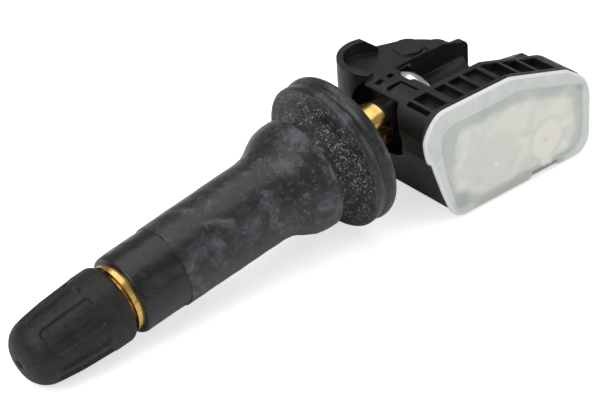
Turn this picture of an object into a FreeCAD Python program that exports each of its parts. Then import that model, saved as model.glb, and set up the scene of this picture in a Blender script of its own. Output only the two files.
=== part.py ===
"""Snap-in tyre pressure sensor: rubber valve, screw-on cap and a potted sensor housing.

Two working frames share one origin, the centre of the valve flange's rear face.
The valve frame has +X along the valve axis, from the cap towards the sensor.
The housing frame has +X along the housing, +Y towards its back and +Z up from the flange centre.
The finished pieces are turned and lifted so that cap and foot stand on the plane Z = 0.
"""
import FreeCAD, Part
import math
import os
import Sketcher

doc = FreeCAD.newDocument("tyre_sensor")

# ---------------------------------------------------------------- driving dimensions (mm, degrees)
SIZES = {
    # pose
    "valve_lean": 6.4, "housing_pitch": 2.7, "axis_height": 11.54,
    # rubber valve
    "rim_hole_radius": 5.75, "flange_radius": 9.5, "flange_depth": 3.12, "neck_length": 3.33,
    "bulge_radius": 7.15, "rubber_radius": 5.12, "rubber_taper": 0.13, "rubber_length": 34.16,
    "sleeve_step": 27.81, "sleeve_inset": 0.16,
    # brass stem
    "stem_radius": 3.0, "stem_tail": 5.9, "tail_radius": 2.8, "valve_length": 42.5,
    "thread_radius": 3.85, "thread_pitch": 0.794, "thread_depth": 0.45, "collar_radius": 4.25,
    "core_bore": 2.6, "seat_bore": 1.95, "air_bore": 1.3, "screw_bore": 1.65, "screw_depth": 7.0,
    # cap
    "cap_gap": 1.23, "cap_radius": 4.78, "cap_mouth_radius": 4.24, "cap_length": 12.95,
    "cap_clearance": 0.07, "flute_count": 12, "flute_width": 1.5, "flute_depth": 0.3, "flute_lean": 4.8,
    # valve core
    "pin_radius": 0.45, "fit_gap": 0.05, "spring_wire": 0.28,
    # sensor housing
    "front_left": 4.95, "front_right": 33.75, "roof_height": 16.5, "end_height": 7.7,
    "slope_start": 19.45, "slope_end": 29.6, "slope_height": 12.5, "foot_start": 11.0,
    "foot_fall": 0.93,
    "cover_face": 9.05, "cover_lip": 0.45, "front_depth": 4.95, "back_face": 9.0, "wall": 1.25,
    "pocket_depth": 1.1, "pocket_front": 7.95, "pocket_back": 4.35,
    "lobe_radius": 4.6, "lobe_wall": 0.85, "lobe_rim": 17.0, "deck_height": 15.45, "deck_fall": 5.0,
    "base_height": 8.6, "socket_radius": 4.95, "socket_depth": 2.6, "yoke_front": 5.75,
    "yoke_back": 11.05, "head_pocket": 3.75, "trough_radius": 2.6,
    # screw
    "head_radius": 3.6, "head_height": 2.6, "screw_reach": 9.5,
    # electronics
    "board_thickness": 0.8, "cell_radius": 6.25, "cell_height": 2.5, "tab_thickness": 0.15,
    "port_radius": 0.6, "port_seat": 1.7,
}

sheet = doc.addObject("Spreadsheet::Sheet", "sizes")
for row, (alias, number) in enumerate(SIZES.items(), start=1):
    sheet.set("A%d" % row, alias.replace("_", " "))
    sheet.set("B%d" % row, "%g" % number)
    sheet.setAlias("B%d" % row, alias)
doc.recompute()


class Size:
    """A number with the sheet expression that gives it, so that arithmetic keeps both in step."""

    def __init__(self, value, text):
        self.value = value
        self.text = text

    def _with(self, other, symbol, result):
        other_text = other.text if isinstance(other, Size) else "%g" % other
        return Size(result, "(%s %s %s)" % (self.text, symbol, other_text))

    def __add__(self, other):
        return self._with(other, "+", self.value + number_of(other))

    def __sub__(self, other):
        return self._with(other, "-", self.value - number_of(other))

    def __mul__(self, other):
        return self._with(other, "*", self.value * number_of(other))

    def __truediv__(self, other):
        return self._with(other, "/", self.value / number_of(other))

    def __radd__(self, other):
        return Size(other + self.value, "(%g + %s)" % (other, self.text))

    def __rsub__(self, other):
        return Size(other - self.value, "(%g - %s)" % (other, self.text))

    def __neg__(self):
        return Size(-self.value, "(0 - %s)" % self.text)


class Sizes:
    """Reads a driving dimension by its alias: dim.wall is the wall with its expression."""

    def __getattr__(self, alias):
        return Size(float(sheet.get(alias)), "sizes." + alias)


def number_of(item):
    return item.value if isinstance(item, Size) else float(item)


dim = Sizes()
pieces = {}
VALVE, HOUSING = "valve", "housing"


# ---------------------------------------------------------------- modelling helpers
def new_body(name, frame):
    body = doc.addObject("PartDesign::Body", name)
    body.Label = name
    pieces[name] = (body, frame)
    return body


def keep(name, feature, frame):
    """Registers a piece; a primitive placed by an expression gets a holder that can be moved."""
    if feature.isDerivedFrom("Part::Primitive"):
        holder = doc.addObject("Part::Compound", name + "_placed")
        holder.Links = [feature]
        feature = holder
    feature.Label = name
    pieces[name] = (feature, frame)


def bind(feature, prop, size):
    """Sets a property, with its expression where the size comes from the sheet."""
    setattr(feature, prop, number_of(size))
    if isinstance(size, Size):
        feature.setExpression(prop, size.text)


def plane_of(body, role):
    return next(item for item in body.Origin.OriginFeatures if item.Role == role)


def new_sketch(body, name, role="XZ_Plane", offset=0.0):
    sketch = body.newObject("Sketcher::SketchObject", name)
    sketch.AttachmentSupport = (plane_of(body, role), [""])
    sketch.MapMode = "FlatFace"
    sketch.AttachmentOffset = FreeCAD.Placement(FreeCAD.Vector(0, 0, number_of(offset)),
                                                FreeCAD.Rotation())
    if isinstance(offset, Size):
        sketch.setExpression("AttachmentOffset.Base.z", offset.text)
    return sketch


def place_point(sketch, geometry, vertex, point):
    """Holds a point at its coordinates; one on an axis is tied to that axis."""
    for kind, axis, size in zip(("DistanceX", "DistanceY"), (-2, -1), point):
        if not isinstance(size, Size) and size == 0:
            sketch.addConstraint(Sketcher.Constraint("PointOnObject", geometry, vertex, axis))
            continue
        index = sketch.addConstraint(
            Sketcher.Constraint(kind, -1, 1, geometry, vertex, number_of(size)))
        if isinstance(size, Size):
            sketch.setExpression("Constraints[%d]" % index, size.text)


def arc_through(start, middle, end):
    """The arc through three points, always turning anticlockwise about +Z."""
    centre = Part.Arc(start, middle, end).toShape().Curve.Center
    if (middle - start).cross(end - middle).z < 0:
        start, end = end, start
    first, last = [math.atan2(p.y - centre.y, p.x - centre.x) for p in (start, end)]
    if last <= first:
        last += math.tau
    whole = Part.Circle(centre, FreeCAD.Vector(0, 0, 1), start.distanceToPoint(centre))
    return Part.ArcOfCircle(whole, first, last)


def outline(sketch, points):
    """A closed outline. A point is (a, b); one with a third entry is the middle of an arc."""
    corners = [p for p in points if len(p) == 2]
    steps = []
    for index, point in enumerate(points):
        if len(point) == 2:
            following = points[(index + 1) % len(points)]
            steps.append((point, following if len(following) == 3 else None))
    first = sketch.GeometryCount
    for index, (start, middle) in enumerate(steps):
        end = corners[(index + 1) % len(corners)]
        here, there = [FreeCAD.Vector(number_of(p[0]), number_of(p[1]), 0) for p in (start, end)]
        if middle is None:
            sketch.addGeometry(Part.LineSegment(here, there), False)
        else:
            via = FreeCAD.Vector(number_of(middle[0]), number_of(middle[1]), 0)
            sketch.addGeometry(arc_through(here, via, there), False)
    ends = []
    for index, corner in enumerate(corners):
        wanted = FreeCAD.Vector(number_of(corner[0]), number_of(corner[1]), 0)
        begins = sketch.Geometry[first + index].StartPoint.distanceToPoint(wanted) < 1e-6
        ends.append((1, 2) if begins else (2, 1))
        place_point(sketch, first + index, ends[index][0], corner)
    for index in range(len(corners)):
        following = (index + 1) % len(corners)
        sketch.addConstraint(Sketcher.Constraint(
            "Coincident", first + index, ends[index][1], first + following, ends[following][0]))
    for index, (start, middle) in enumerate(steps):
        if middle is not None:
            via = FreeCAD.Vector(number_of(middle[0]), number_of(middle[1]), 0)
            point = sketch.addGeometry(Part.Point(via), True)
            place_point(sketch, point, 1, middle)
            sketch.addConstraint(Sketcher.Constraint("PointOnObject", point, 1, first + index))


def circle(sketch, centre, radius):
    middle = FreeCAD.Vector(number_of(centre[0]), number_of(centre[1]), 0)
    index = sketch.addGeometry(
        Part.Circle(middle, FreeCAD.Vector(0, 0, 1), number_of(radius)), False)
    place_point(sketch, index, 3, centre)
    limit = sketch.addConstraint(Sketcher.Constraint("Radius", index, number_of(radius)))
    if isinstance(radius, Size):
        sketch.setExpression("Constraints[%d]" % limit, radius.text)


def box_points(left, low, right, high):
    return [(left, low), (right, low), (right, high), (left, high)]


def pad(body, sketch, length, name, reverse=False):
    feature = body.newObject("PartDesign::Pad", name)
    feature.Profile = sketch
    bind(feature, "Length", length)
    feature.Reversed = reverse
    return feature


def pocket(body, sketch, length, name, reverse=False):
    """Cuts a sketch into a body and turns the cut round when it points away from the solid."""
    doc.recompute()
    before = body.Shape.Volume
    feature = body.newObject("PartDesign::Pocket", name)
    feature.Profile = sketch
    bind(feature, "Length", length)
    feature.Reversed = reverse
    doc.recompute()
    if feature.Shape.isNull() or feature.Shape.Volume > before - 1e-4:
        raise ValueError("the pocket %s removes nothing" % name)
    return feature


def revolve(body, points, name):
    """Turns a half profile, given as (along X, radius), about the X axis."""
    sketch = new_sketch(body, name + "_profile", "XY_Plane")
    outline(sketch, points)
    feature = body.newObject("PartDesign::Revolution", name)
    feature.Profile = sketch
    feature.ReferenceAxis = (sketch, ["H_Axis"])
    feature.Angle = 360
    return feature


def turned(name, points, frame=VALVE):
    body = new_body(name, frame)
    revolve(body, points, name + "_turned")
    return body


def solid_box(name, low, high):
    """A plain box between two corners of the housing frame."""
    feature = doc.addObject("Part::Box", name)
    for prop, axis in (("Length", 0), ("Width", 1), ("Height", 2)):
        bind(feature, prop, high[axis] - low[axis] if isinstance(high[axis], Size)
             else -(low[axis] - high[axis]) if isinstance(low[axis], Size)
             else high[axis] - low[axis])
    feature.Placement.Base = FreeCAD.Vector(*[number_of(item) for item in low])
    for axis, size in zip("xyz", low):
        if isinstance(size, Size):
            feature.setExpression("Placement.Base." + axis, size.text)
    return feature


def rod(name, radius, start, end):
    """A cylinder on the valve axis, leaned into the housing frame."""
    feature = doc.addObject("Part::Cylinder", name)
    bind(feature, "Radius", radius)
    bind(feature, "Height", end - start)
    lean = FreeCAD.Rotation(FreeCAD.Vector(0, 1, 0), 90 - SIZES["valve_lean"])
    base = lean.multVec(FreeCAD.Vector(0, 0, number_of(start)))
    feature.Placement = FreeCAD.Placement(base, lean)
    return feature


# ---------------------------------------------------------------- rubber valve body
def make_valve_rubber():
    neck_end = dim.flange_depth + dim.neck_length
    r_out = dim.flange_radius
    face = dim.flange_depth
    length = dim.rubber_length
    thick = dim.rubber_radius + dim.rubber_taper
    thin = dim.rubber_radius - dim.sleeve_inset
    points = [
        (0.0, dim.stem_radius), (0.0, r_out - 0.35),
        (-0.15, r_out + 0.02, "arc"), (-0.55, r_out + 0.1),
        (-1.2, r_out), (-1.65, r_out - 0.32), (-2.0, r_out - 0.1), (-face + 0.35, r_out - 0.04),
        (-face + 0.08, r_out - 0.12, "arc"), (-face, r_out - 0.4), (-face, r_out - 2.3),
        (-face - 0.35, dim.rim_hole_radius + 0.35, "arc"),
        (-face - 1.15, dim.rim_hole_radius), (-neck_end + 0.45, dim.rim_hole_radius),
        (-neck_end, dim.bulge_radius),
        (-neck_end - 1.3, dim.bulge_radius - 0.02),
        (-neck_end - 2.6, dim.bulge_radius - 0.3, "arc"), (-neck_end - 3.9, dim.bulge_radius - 0.95),
        (-neck_end - 5.0, thick + 0.3, "arc"), (-neck_end - 6.7, thick),
        (-dim.sleeve_step, dim.rubber_radius), (-dim.sleeve_step, thin),
        (-length + 0.4, thin - 0.04), (-length + 0.1, thin - 0.13, "arc"), (-length, thin - 0.42),
        (-length, dim.stem_radius),
    ]
    turned("valve_rubber", points)


# ---------------------------------------------------------------- brass stem, bored for core and screw
def thread_teeth(start, end, radius, root, pitch):
    """Crests and roots of an outer thread, from the end nearest the sensor to the valve tip."""
    points = []
    place = start
    while place.value - number_of(pitch) > number_of(end):
        points += [(place, root), (place - pitch * 0.40, radius), (place - pitch * 0.55, radius),
                   (place - pitch * 0.95, root)]
        place = place - pitch
    return points


def make_valve_stem():
    tip = -dim.valve_length
    shoulder = -dim.rubber_length
    root = dim.thread_radius - dim.thread_depth
    collar = shoulder - 0.75
    core_seat = tip + 5.2
    points = [
        (dim.stem_tail, dim.screw_bore), (dim.stem_tail, dim.tail_radius - 0.25),
        (dim.stem_tail - 0.25, dim.tail_radius), (0.0, dim.tail_radius), (0.0, dim.stem_radius),
        (shoulder, dim.stem_radius), (shoulder, dim.collar_radius), (collar, dim.collar_radius),
        (collar, root), (collar - 0.6, root),
    ]
    points += thread_teeth(collar - 0.7, tip + 0.3, dim.thread_radius, root, dim.thread_pitch)
    points += [
        (tip + 0.25, root), (tip, root - 0.25), (tip, dim.core_bore), (core_seat, dim.core_bore),
        (core_seat + 2.2, dim.seat_bore), (tip + 16.5, dim.seat_bore), (tip + 17.2, dim.air_bore),
        (dim.stem_tail - dim.screw_depth - 0.4, dim.air_bore),
        (dim.stem_tail - dim.screw_depth, dim.screw_bore),
    ]
    body = turned("valve_stem", points)
    # cross hole that lets the tyre's air into the stem between flange and sensor
    port = new_sketch(body, "air_port", "XY_Plane", -(dim.tail_radius + 1.0))
    circle(port, (1.7, 0.0), 0.7)
    pocket(body, port, dim.tail_radius * 2 + 2.0, "air_port_cut", reverse=True)


# ---------------------------------------------------------------- screw-on cap with pill-shaped flutes
def make_cap():
    mouth = -dim.rubber_length - dim.cap_gap
    tip = mouth - dim.cap_length
    bore = dim.thread_radius + dim.cap_clearance
    r_cap = dim.cap_radius
    seal_seat = -dim.valve_length - 1.15
    seal_radius = dim.thread_radius - 0.5
    points = [
        (mouth, bore + 0.12), (mouth, dim.cap_mouth_radius), (mouth - 0.1, r_cap - 0.22, "arc"),
        (mouth - 0.55, r_cap), (mouth - 2.7, r_cap), (mouth - 3.0, r_cap - 0.1),
        (mouth - 7.0, r_cap - 0.33), (mouth - 10.6, r_cap - 0.84),
        (tip + 0.75, r_cap - 1.7, "arc"), (tip, 1.2), (tip, 0.0), (seal_seat - 1.9, 0.0),
        (seal_seat - 1.9, 2.0), (seal_seat, 2.6), (seal_seat, seal_radius),
        (-dim.valve_length - 0.05, seal_radius), (-dim.valve_length - 0.05, bore), (mouth - 0.25, bore),
    ]
    body = turned("valve_cap", points)
    # the flutes are cut from a plane that leans with the cap's taper
    lean = SIZES["flute_lean"]
    rise = (dim.cap_length + dim.rubber_length) * math.tan(math.radians(lean))
    flute = new_sketch(body, "flute", "XY_Plane", r_cap + rise - dim.flute_depth * 3 - 0.02)
    flute.AttachmentOffset.Rotation = FreeCAD.Rotation(FreeCAD.Vector(0, 1, 0), -lean)
    half = dim.flute_width / 2
    left, right = mouth - 10.3, mouth - 3.6
    outline(flute, [(left, -half), (right, -half), (right + half, 0.0, "arc"), (right, half),
                    (left, half), (left - half, 0.0, "arc")])
    cut = pocket(body, flute, 2.0, "flute_cut", reverse=True)
    ring = body.newObject("PartDesign::PolarPattern", "flute_ring")
    ring.Originals = [cut]
    ring.Axis = (plane_of(body, "X_Axis"), [""])
    ring.Angle = 360
    ring.Occurrences = int(SIZES["flute_count"])
    body.Tip = ring
    turned("cap_seal", [
        (-dim.valve_length - 0.07, 0.9), (seal_seat + 0.02, 0.9), (seal_seat + 0.02, seal_radius - 0.03),
        (-dim.valve_length - 0.07, seal_radius - 0.03)])


# ---------------------------------------------------------------- valve core: barrel, pin, cup, spring
def make_core():
    tip = -dim.valve_length
    neck_start = tip + 3.1
    gasket_start = tip + 5.6
    gasket_end = gasket_start + 1.5
    barrel_end = tip + 11.5
    ledge = barrel_end - 0.8
    seat_slope = (dim.core_bore - dim.seat_bore) / 2.2
    sleeve = dim.seat_bore - 0.1
    inner = 1.15
    pin_hole = dim.pin_radius + 0.12
    turned("core_barrel", [
        (tip + 0.2, inner), (tip + 0.2, dim.core_bore - dim.fit_gap),
        (neck_start, dim.core_bore - dim.fit_gap), (neck_start, sleeve),
        (gasket_start, sleeve), (gasket_start, 1.5), (gasket_end, 1.5), (gasket_end, sleeve),
        (barrel_end, sleeve), (barrel_end, pin_hole), (ledge, pin_hole), (ledge, inner)])
    turned("core_gasket", [
        (gasket_start, 1.5), (gasket_start, dim.core_bore - seat_slope * 0.4 - 0.03),
        (gasket_end, dim.core_bore - seat_slope * 1.9 - 0.03), (gasket_end, 1.5)])
    collar = tip + 2.6
    cup = barrel_end + 0.02
    turned("core_pin", [
        (tip + 0.05, 0.0), (tip + 0.05, dim.pin_radius), (collar, dim.pin_radius), (collar, 1.05),
        (collar + 0.4, 1.05), (collar + 0.4, dim.pin_radius), (cup + 1.5, dim.pin_radius),
        (cup + 1.5, 0.0)])
    turned("core_cup_seal", [
        (cup, dim.pin_radius + 0.02), (cup, 1.25), (cup + 0.5, 1.25), (cup + 0.5, dim.pin_radius + 0.02)])
    turned("core_cup", [
        (cup + 0.1, 1.25), (cup + 0.1, 1.5), (cup + 1.1, 1.2), (cup + 1.1, dim.pin_radius),
        (cup + 0.5, dim.pin_radius), (cup + 0.5, 1.25)])
    # closed-end compression spring between the pin's collar and the barrel's ledge
    wire = SIZES["spring_wire"] / 2
    coil_radius = inner - 0.12 - wire
    start = number_of(collar) + 0.4 + wire + 0.02
    length = number_of(ledge) - wire - 0.02 - start
    coil = Part.makeHelix(length / 7.0, length, coil_radius)
    section = Part.Wire(Part.Circle(FreeCAD.Vector(coil_radius, 0, 0), FreeCAD.Vector(0, 1, 0),
                                    wire).toShape())
    shape = Part.Wire(coil).makePipeShell([section], True, True)
    spring = doc.addObject("Part::Feature", "core_spring")
    lay = FreeCAD.Placement(FreeCAD.Vector(start, 0, 0),
                            FreeCAD.Rotation(FreeCAD.Vector(0, 1, 0), 90))
    spring.Shape = shape.transformGeometry(lay.toMatrix())
    keep("core_spring", spring, VALVE)


# ---------------------------------------------------------------- sensor housing
def up(height):
    """A height above the foot, in the housing frame, whose origin is the flange centre."""
    return height - dim.axis_height if isinstance(height, Size) else -(dim.axis_height - height)


def side_outline(inset=0.0, roof=0.0):
    """The housing seen from its cover side, (along X, Z), drawn in by inset, more under the roof."""
    left = dim.front_left + inset
    right = dim.front_right - inset
    top = up(dim.roof_height) - inset - roof
    foot = up(inset)
    fallen = foot - dim.foot_fall
    return [
        (dim.foot_start + inset * 0.8, foot), (right - 3.0, fallen),
        (right - 0.88, fallen + 0.88, "arc"), (right, fallen + 3.0),
        (right, up(dim.end_height)),
        (right - 1.35, up(dim.end_height) + 2.5 - (inset + roof) * 0.5, "arc"),
        (dim.slope_end - inset * 0.5, up(dim.slope_height) - inset - roof),
        (dim.slope_start, up(dim.roof_height) - 0.5 - inset - roof),
        (left + 3.0, top), (left + 0.88, top - 0.88, "arc"), (left, top - 3.0),
        (left + 0.4, up(10.6)),
    ]


def foot_point(place, height):
    """A point at the given height above the foot, which falls slightly towards the far end."""
    run = SIZES["front_right"] - 3.0 - SIZES["foot_start"]
    return place, up(height) - dim.foot_fall * ((place - SIZES["foot_start"]) / run)


# plan centres (along X, along Y) of the round lobe and of the button cell
LOBE = (10.65, 5.55)
CELL = (21.6, 1.3)


def make_housing():
    body = new_body("housing_block", HOUSING)
    front = dim.cover_face - dim.cover_lip
    back = dim.back_face + 1.4
    inner_edge = -(front - dim.front_depth)
    shell = new_sketch(body, "side_view", "XZ_Plane", front)
    outline(shell, side_outline())
    pad(body, shell, front + back, "block", reverse=True)

    # the base is low behind the cover side, and its back falls away
    fall = new_sketch(body, "base_fall", "YZ_Plane", 22.7)
    outline(fall, [(inner_edge, up(dim.base_height)), (2.5, up(dim.base_height)),
                   (dim.back_face, up(4.2)), (dim.back_face, up(-2.0)),
                   (back + 1.0, up(-2.0)), (back + 1.0, up(18.0)), (inner_edge, up(18.0))])
    pocket(body, fall, 20.0, "base_fall_cut", reverse=True)

    # plan of the rear block: a round lobe by the valve, running back to the ridge
    plan = new_sketch(body, "rear_plan", "XY_Plane", up(4.2))
    outline(plan, [(-3.0, 2.75), (6.95, 2.75), (LOBE[0] - dim.lobe_radius, LOBE[1], "arc"),
                   (LOBE[0], dim.lobe_radius + LOBE[1]), (14.6, 9.6), (17.6, 8.8),
                   (20.9, 6.6, "arc"), (22.8, 3.2), (24.0, 2.6), (24.0, back + 3.0),
                   (-3.0, back + 3.0)])
    lower_back = new_sketch(body, "back_flat", "XY_Plane", up(-2.0))
    outline(lower_back, box_points(-3.0, dim.back_face, 40.0, back + 3.0))
    rise = new_sketch(body, "yoke_front_view", "XY_Plane", up(-2.0))
    outline(rise, [(-3.0, inner_edge), (dim.yoke_front, inner_edge), (dim.yoke_front, 1.6),
                   (6.4, 2.75), (-3.0, 2.75)])
    pocket(body, plan, 20.0, "rear_plan_cut", reverse=True)
    pocket(body, rise, 21.0, "yoke_front_cut", reverse=True)
    pocket(body, lower_back, 6.2, "back_flat_cut", reverse=True)

    # the deck behind the yoke falls towards the far end
    fall_rate = math.tan(math.radians(SIZES["deck_fall"]))
    deck = new_sketch(body, "deck_side", "XZ_Plane", -2.75)
    outline(deck, [(4.0, up(dim.deck_height)), (9.0, up(dim.deck_height)),
                   (24.0, up(dim.deck_height) - 15.0 * fall_rate), (24.0, up(18.0)), (4.0, up(18.0))])
    pocket(body, deck, 14.0, "deck_cut")

    # the screw's trough, open upwards and to the far end
    trough = new_sketch(body, "trough_view", "YZ_Plane", dim.yoke_back)
    outline(trough, [(inner_edge, up(12.9)), (dim.trough_radius, up(12.9)),
                     (dim.trough_radius, up(19.0)), (inner_edge, up(19.0))])
    pocket(body, trough, 30.0, "trough_cut", reverse=True)

    # the lobe's wall stands round the deck, and a ridge closes the deck beside the trough
    wall = new_sketch(body, "lobe_wall_view", "XY_Plane", up(13.4))
    r_out, r_in = dim.lobe_radius, dim.lobe_radius - dim.lobe_wall
    diagonal = math.sqrt(0.5)
    far = math.cos(math.radians(40)), math.sin(math.radians(40))
    outline(wall, [
        (6.95, 2.75), (LOBE[0] - r_out, LOBE[1], "arc"), (LOBE[0], r_out + LOBE[1]),
        (r_out * diagonal + LOBE[0] - 0.75, r_out * diagonal + LOBE[1] + 0.55, "arc"),
        (r_out * far[0] + LOBE[0], r_out * far[1] + LOBE[1]),
        (r_in * far[0] + LOBE[0], r_in * far[1] + LOBE[1]),
        (r_in * diagonal + LOBE[0] - 0.7, r_in * diagonal + LOBE[1] + 0.5, "arc"),
        (LOBE[0], r_in + LOBE[1]), (LOBE[0] - r_in * diagonal, r_in * diagonal + LOBE[1], "arc"),
        (LOBE[0] - r_in, LOBE[1]), (7.95, 2.75)])
    pad(body, wall, dim.lobe_rim - 13.4, "lobe_wall")
    ease = new_sketch(body, "lobe_ease", "XZ_Plane", -LOBE[1])
    outline(ease, [(12.1, up(17.1)), (14.6, up(15.1)), (16.0, up(15.1)), (16.0, up(18.0)),
                   (12.1, up(18.0))])
    pocket(body, ease, 8.0, "lobe_ease_cut")
    ridge = new_sketch(body, "ridge_side", "XZ_Plane", -3.5)
    outline(ridge, [(15.6, up(8.4)), (23.8, up(8.4)), (23.8, up(13.6)), (23.5, up(14.5), "arc"),
                    (22.7, up(14.9)), (19.9, up(15.2)), (17.4, up(15.0)), (16.1, up(14.45)),
                    (15.6, up(14.3))])
    pad(body, ridge, 0.9, "ridge")

    # shallow pockets between ribs along the roof, and the small ones on the yoke
    ribs = new_sketch(body, "rib_pockets", "XZ_Plane", dim.pocket_front)
    spans = [(7.6, 9.9), (10.95, 12.75), (13.25, 15.25), (15.75, 18.05)]
    for left, right in spans:
        outline(ribs, box_points(left, up(dim.roof_height) - dim.pocket_depth, right, up(18.0)))
    slope = -(SIZES["roof_height"] - 0.5 - SIZES["slope_height"]) / (
        SIZES["slope_end"] - SIZES["slope_start"])
    for left, right in ((18.75, 21.75), (22.25, 24.95), (25.45, 28.4)):
        heights = [up(dim.roof_height) - dim.pocket_depth - 0.5
                   + slope * (place - SIZES["slope_start"]) for place in (left, right)]
        outline(ribs, [(left, heights[0]), (right, heights[1]), (right, up(18.0)), (left, up(18.0))])
    outline(ribs, [(6.5, up(15.3)), (7.15, up(15.3)), (7.15, up(18.0)), (6.5, up(18.0))])
    pocket(body, ribs, dim.pocket_front - dim.pocket_back, "rib_pockets_cut")
    yoke = new_sketch(body, "yoke_pockets", "XY_Plane", up(dim.roof_height) - 0.9)
    outline(yoke, box_points(7.05, 0.85, 8.15, 1.7))
    outline(yoke, box_points(9.0, 1.05, 10.0, 1.85))
    outline(yoke, [(6.95, -1.05), (7.2, -0.25), (9.6, -0.2), (9.75, -3.3), (9.3, -3.3), (9.2, -0.75)])
    pocket(body, yoke, 3.0, "yoke_pockets_cut", reverse=True)

    # the electronics' cavity, open on the cover side, with a deeper well for the cell
    room = new_sketch(body, "room_view", "XZ_Plane", front)
    outline(room, side_outline(dim.wall, 0.35))
    pocket(body, room, dim.front_depth - dim.wall, "room_cut")
    well = new_sketch(body, "well_view", "XZ_Plane", front)
    outline(well, box_points(CELL[0] - dim.cell_radius - 0.6, up(dim.wall),
                             dim.cell_radius + CELL[0] + 0.6, up(4.45)))
    pocket(body, well, front + dim.cell_radius + CELL[1] + 0.2, "well_cut")
    skirt = new_sketch(body, "skirt_view", "XZ_Plane", front)
    outline(skirt, [foot_point(9.0, -0.5), foot_point(31.0, -0.5), foot_point(31.0, 0.75),
                    foot_point(9.0, 0.75)])
    pocket(body, skirt, 2.35, "skirt_cut")
    port = new_sketch(body, "port_seat_view", "XZ_Plane", -dim.back_face)
    circle(port, (20.2, up(2.3)), dim.port_seat)
    pocket(body, port, 0.7, "port_seat_cut", reverse=True)
    port = new_sketch(body, "port_view", "XZ_Plane", -dim.back_face)
    circle(port, (20.2, up(2.3)), dim.port_radius)
    pocket(body, port, 2.5, "port_cut", reverse=True)
    back_ribs = new_sketch(body, "back_pockets", "XZ_Plane", -(dim.back_face - 1.2))
    for left in (11.8, 14.4, 17.0):
        outline(back_ribs, box_points(left, up(6.4), left + 2.0, up(11.6)))
    pocket(body, back_ribs, 3.0, "back_pockets_cut")

    # date dials: bare raised discs on the deck
    for name, centre, radius in (("dial_large", (17.2, 6.5), 1.85), ("dial_small", (20.15, 4.5), 1.4)):
        level = number_of(up(dim.deck_height)) - (centre[0] - 9.0) * fall_rate
        dial = new_sketch(body, name, "XY_Plane", level - 0.6)
        circle(dial, centre, radius)
        pad(body, dial, 0.95, name + "_pad")
    doc.recompute()

    # socket, boss, screw hole and head pocket lie on the leaning valve axis
    bowl = doc.addObject("Part::Common", "socket_bowl")
    bowl.Base = rod("socket_wide", dim.socket_radius, Size(0.0, "0"), dim.stem_tail + dim.socket_depth)
    bowl.Tool = solid_box("under_roof", (-5.0, -9.0, up(0.0)), (15.0, 9.0, up(dim.roof_height) - 0.5))
    groove = doc.addObject("Part::Cut", "socket_groove")
    groove.Base = bowl
    groove.Tool = rod("socket_boss", dim.screw_bore + 0.8, dim.stem_tail + 0.02,
                      dim.stem_tail + dim.socket_depth + 1.0)
    tools = doc.addObject("Part::MultiFuse", "axis_cuts")
    tools.Shapes = [
        groove, rod("screw_hole", dim.screw_bore + 0.35, Size(0.0, "0"), dim.yoke_back + 2.0),
        rod("head_seat", dim.head_pocket, dim.yoke_back - 0.1, dim.yoke_back + 3.3),
        rod("driver_trough", dim.trough_radius, dim.yoke_back + 1.0, dim.yoke_back + 30.0)]
    housing = doc.addObject("Part::Cut", "sensor_housing")
    housing.Base = body
    housing.Tool = tools
    del pieces["housing_block"]
    keep("sensor_housing", housing, HOUSING)


def make_cover():
    body = new_body("housing_cover", HOUSING)
    face = new_sketch(body, "cover_view", "XZ_Plane", dim.cover_face - dim.cover_lip)
    outline(face, side_outline(0.04))
    pad(body, face, dim.cover_lip, "cover_plate")
    skirt = new_sketch(body, "skirt_view", "XZ_Plane", dim.cover_face - dim.cover_lip)
    outline(skirt, [foot_point(11.5, 0.04), foot_point(29.9, 0.04), foot_point(29.9, 0.7),
                    foot_point(11.5, 0.7)])
    pad(body, skirt, 2.3, "cover_skirt", reverse=True)


def make_screw():
    under = dim.yoke_back - 0.08
    reach = under - dim.screw_reach
    shank = dim.screw_bore - dim.fit_gap
    body = turned("retaining_screw", [
        (reach + 0.4, 0.0), (reach, shank - 0.4), (reach + 0.4, shank), (under, shank),
        (under, dim.head_radius), (under + 0.8, dim.head_radius),
        (under + 2.0, dim.head_radius - 0.7, "arc"), (under + dim.head_height, dim.head_radius - 2.0),
        (under + dim.head_height, 0.0)])
    drive = new_sketch(body, "drive", "YZ_Plane", under + dim.head_height)
    lobes = 6
    points = []
    for index in range(lobes):
        peak, valley = index * math.tau / lobes, (index + 0.5) * math.tau / lobes
        points += [(1.38 * math.cos(peak), 1.38 * math.sin(peak)),
                   (1.0 * math.cos(valley), 1.0 * math.sin(valley))]
    outline(drive, points)
    pocket(body, drive, 1.3, "drive_cut")


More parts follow.
